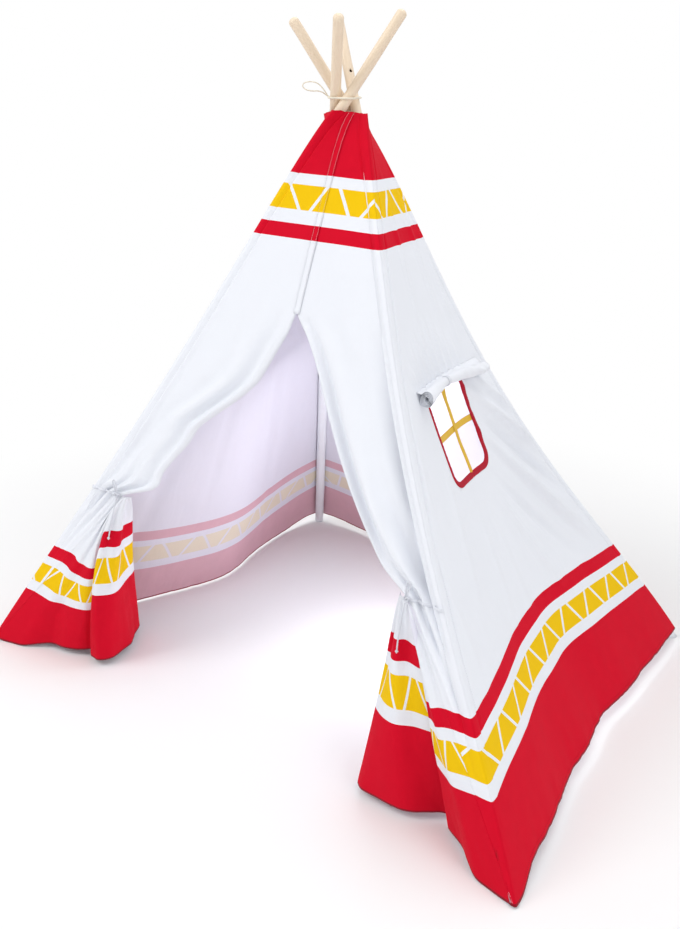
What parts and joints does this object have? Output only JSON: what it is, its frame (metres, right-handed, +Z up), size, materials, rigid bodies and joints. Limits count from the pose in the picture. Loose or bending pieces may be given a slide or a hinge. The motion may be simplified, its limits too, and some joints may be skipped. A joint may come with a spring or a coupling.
{
  "type": "kids teepee",
  "caption": "Kids teepee: wooden poles crossed and tied near the top, a white cotton cover with printed red and yellow bands, a tied-back door and a window with a rolled-up flap.",
  "frame": {"origin": "on the floor, under the middle of the box that holds the standing teepee", "axes": "+Z up, -Y out of the doorway, +X towards the wall with the window"},
  "size_m": [1.3772, 1.0366, 1.3713],
  "materials": {
    "pole_wood": "pale varnished pine",
    "ferrule_steel": "satin",
    "cover_cotton": "matt cotton canvas, printed bands",
    "binding_red": "matt cotton binding",
    "ribbon_yellow": "soft satin ribbon",
    "elastic": "braided elastic cord",
    "tie_cord": "woven cotton tape"
  },
  "bodies": {
    "crossing": {"lashing_cord": "elastic", "lashing_loop": "elastic"},
    "pole_front_left": {"pole_front_left_lower": "pole_wood", "pole_front_left_upper": "pole_wood", "ferrule_front_left": "ferrule_steel", "sleeve_front_left": "cover_cotton"},
    "pole_front_right": {"pole_front_right_lower": "pole_wood", "pole_front_right_upper": "pole_wood", "ferrule_front_right": "ferrule_steel", "sleeve_front_right": "cover_cotton"},
    "pole_back_right": {"pole_back_right_lower": "pole_wood", "pole_back_right_upper": "pole_wood", "ferrule_back_right": "ferrule_steel", "sleeve_back_right": "cover_cotton"},
    "pole_back_left": {"pole_back_left_lower": "pole_wood", "pole_back_left_upper": "pole_wood", "ferrule_back_left": "ferrule_steel", "sleeve_back_left": "cover_cotton"},
    "wall_front": {"door_left": "cover_cotton", "door_right": "cover_cotton", "door_placket": "cover_cotton", "door_tie_left": "tie_cord", "door_tie_knot_left": "tie_cord", "door_tie_loop_left": "tie_cord", "door_tie_right": "tie_cord", "door_tie_knot_right": "tie_cord", "door_tie_loop_right": "tie_cord"},
    "wall_right": {"wall_right": "cover_cotton", "window_binding": "binding_red", "window_ribbon_upright": "ribbon_yellow", "window_ribbon_level": "ribbon_yellow"},
    "wall_back": {"wall_back": "cover_cotton"},
    "wall_left": {"wall_left": "cover_cotton"},
    "tail_left": {"door_tail_left": "cover_cotton", "door_tie_tail_left": "tie_cord", "door_tie_end_left": "tie_cord"},
    "tail_right": {"door_tail_right": "cover_cotton", "door_tie_tail_right": "tie_cord", "door_tie_end_right": "tie_cord"},
    "window_flap": {"window_flap": "cover_cotton", "window_flap_strap": "cover_cotton"}
  },
  "joints": [
    {"name": "fold", "type": "hinge", "parent": "crossing", "child": "pole_front_left", "pos_m": [0.00204, -0.11236, 1.206], "axis": [0.523, -0.8523, 0], "range_deg": [0, 25], "deforming": ["lashing_cord", "lashing_loop"]},
    {"name": "fold_front_right", "type": "hinge", "parent": "crossing", "child": "pole_front_right", "pos_m": [0.00187, -0.07953, 1.206], "axis": [0.514, 0.8578, 0], "range_deg": [0, 25]},
    {"name": "fold_back_right", "type": "hinge", "parent": "crossing", "child": "pole_back_right", "pos_m": [-0.02219, -0.08307, 1.206], "axis": [-0.7392, 0.6734, 0], "range_deg": [0, 25]},
    {"name": "fold_back_left", "type": "hinge", "parent": "crossing", "child": "pole_back_left", "pos_m": [-0.02238, -0.10872, 1.206], "axis": [-0.7491, -0.6625, 0], "range_deg": [0, 25]},
    {"name": "fold_wall_front", "type": "hinge", "parent": "crossing", "child": "wall_front", "pos_m": [-0.008, -0.096, 1.206], "axis": [1, 0, 0], "range_deg": [0, 14.6], "deforming": ["door_left", "door_right", "door_placket", "door_tie_left", "door_tie_knot_left", "door_tie_loop_left", "door_tie_right", "door_tie_knot_right", "door_tie_loop_right"]},
    {"name": "fold_wall_right", "type": "hinge", "parent": "crossing", "child": "wall_right", "pos_m": [-0.008, -0.096, 1.206], "axis": [-0.1325, 0.9912, 0], "range_deg": [0, 20.7], "deforming": ["wall_right", "window_binding", "window_ribbon_upright", "window_ribbon_level"]},
    {"name": "fold_wall_back", "type": "hinge", "parent": "crossing", "child": "wall_back", "pos_m": [-0.008, -0.096, 1.206], "axis": [-1, 0, 0], "range_deg": [0, 20.1], "deforming": ["wall_back"]},
    {"name": "fold_wall_left", "type": "hinge", "parent": "crossing", "child": "wall_left", "pos_m": [-0.008, -0.096, 1.206], "axis": [-0.1325, -0.9912, 0], "range_deg": [0, 20.5], "deforming": ["wall_left"]},
    {"name": "tail_swing_left", "type": "hinge", "parent": "wall_front", "child": "tail_left", "pos_m": [-0.367, -0.38751, 0.40429], "axis": [-0.6029, -0.2527, -0.7568], "range_deg": [0, 40], "deforming": ["door_tail_left", "door_tie_tail_left", "door_tie_end_left"]},
    {"name": "tail_swing_right", "type": "hinge", "parent": "wall_front", "child": "tail_right", "pos_m": [0.367, -0.38241, 0.40258], "axis": [-0.6029, 0.2618, 0.7536], "range_deg": [0, 40], "deforming": ["door_tail_right", "door_tie_tail_right", "door_tie_end_right"]},
    {"name": "window_flap_lift", "type": "hinge", "parent": "wall_right", "child": "window_flap", "pos_m": [0.21209, -0.05621, 0.71093], "axis": [0.1808, -0.9834, 0.0112], "range_deg": [0, 60], "deforming": ["window_flap", "window_flap_strap"]}
  ],
  "couplings": [
    {"joint": "fold_front_right", "follows": "fold", "ratio": 1},
    {"joint": "fold_back_right", "follows": "fold", "ratio": 1},
    {"joint": "fold_back_left", "follows": "fold", "ratio": 1},
    {"joint": "fold_wall_front", "follows": "fold", "ratio": 0.578},
    {"joint": "fold_wall_right", "follows": "fold", "ratio": 0.821},
    {"joint": "fold_wall_back", "follows": "fold", "ratio": 0.796},
    {"joint": "fold_wall_left", "follows": "fold", "ratio": 0.813}
  ]
}
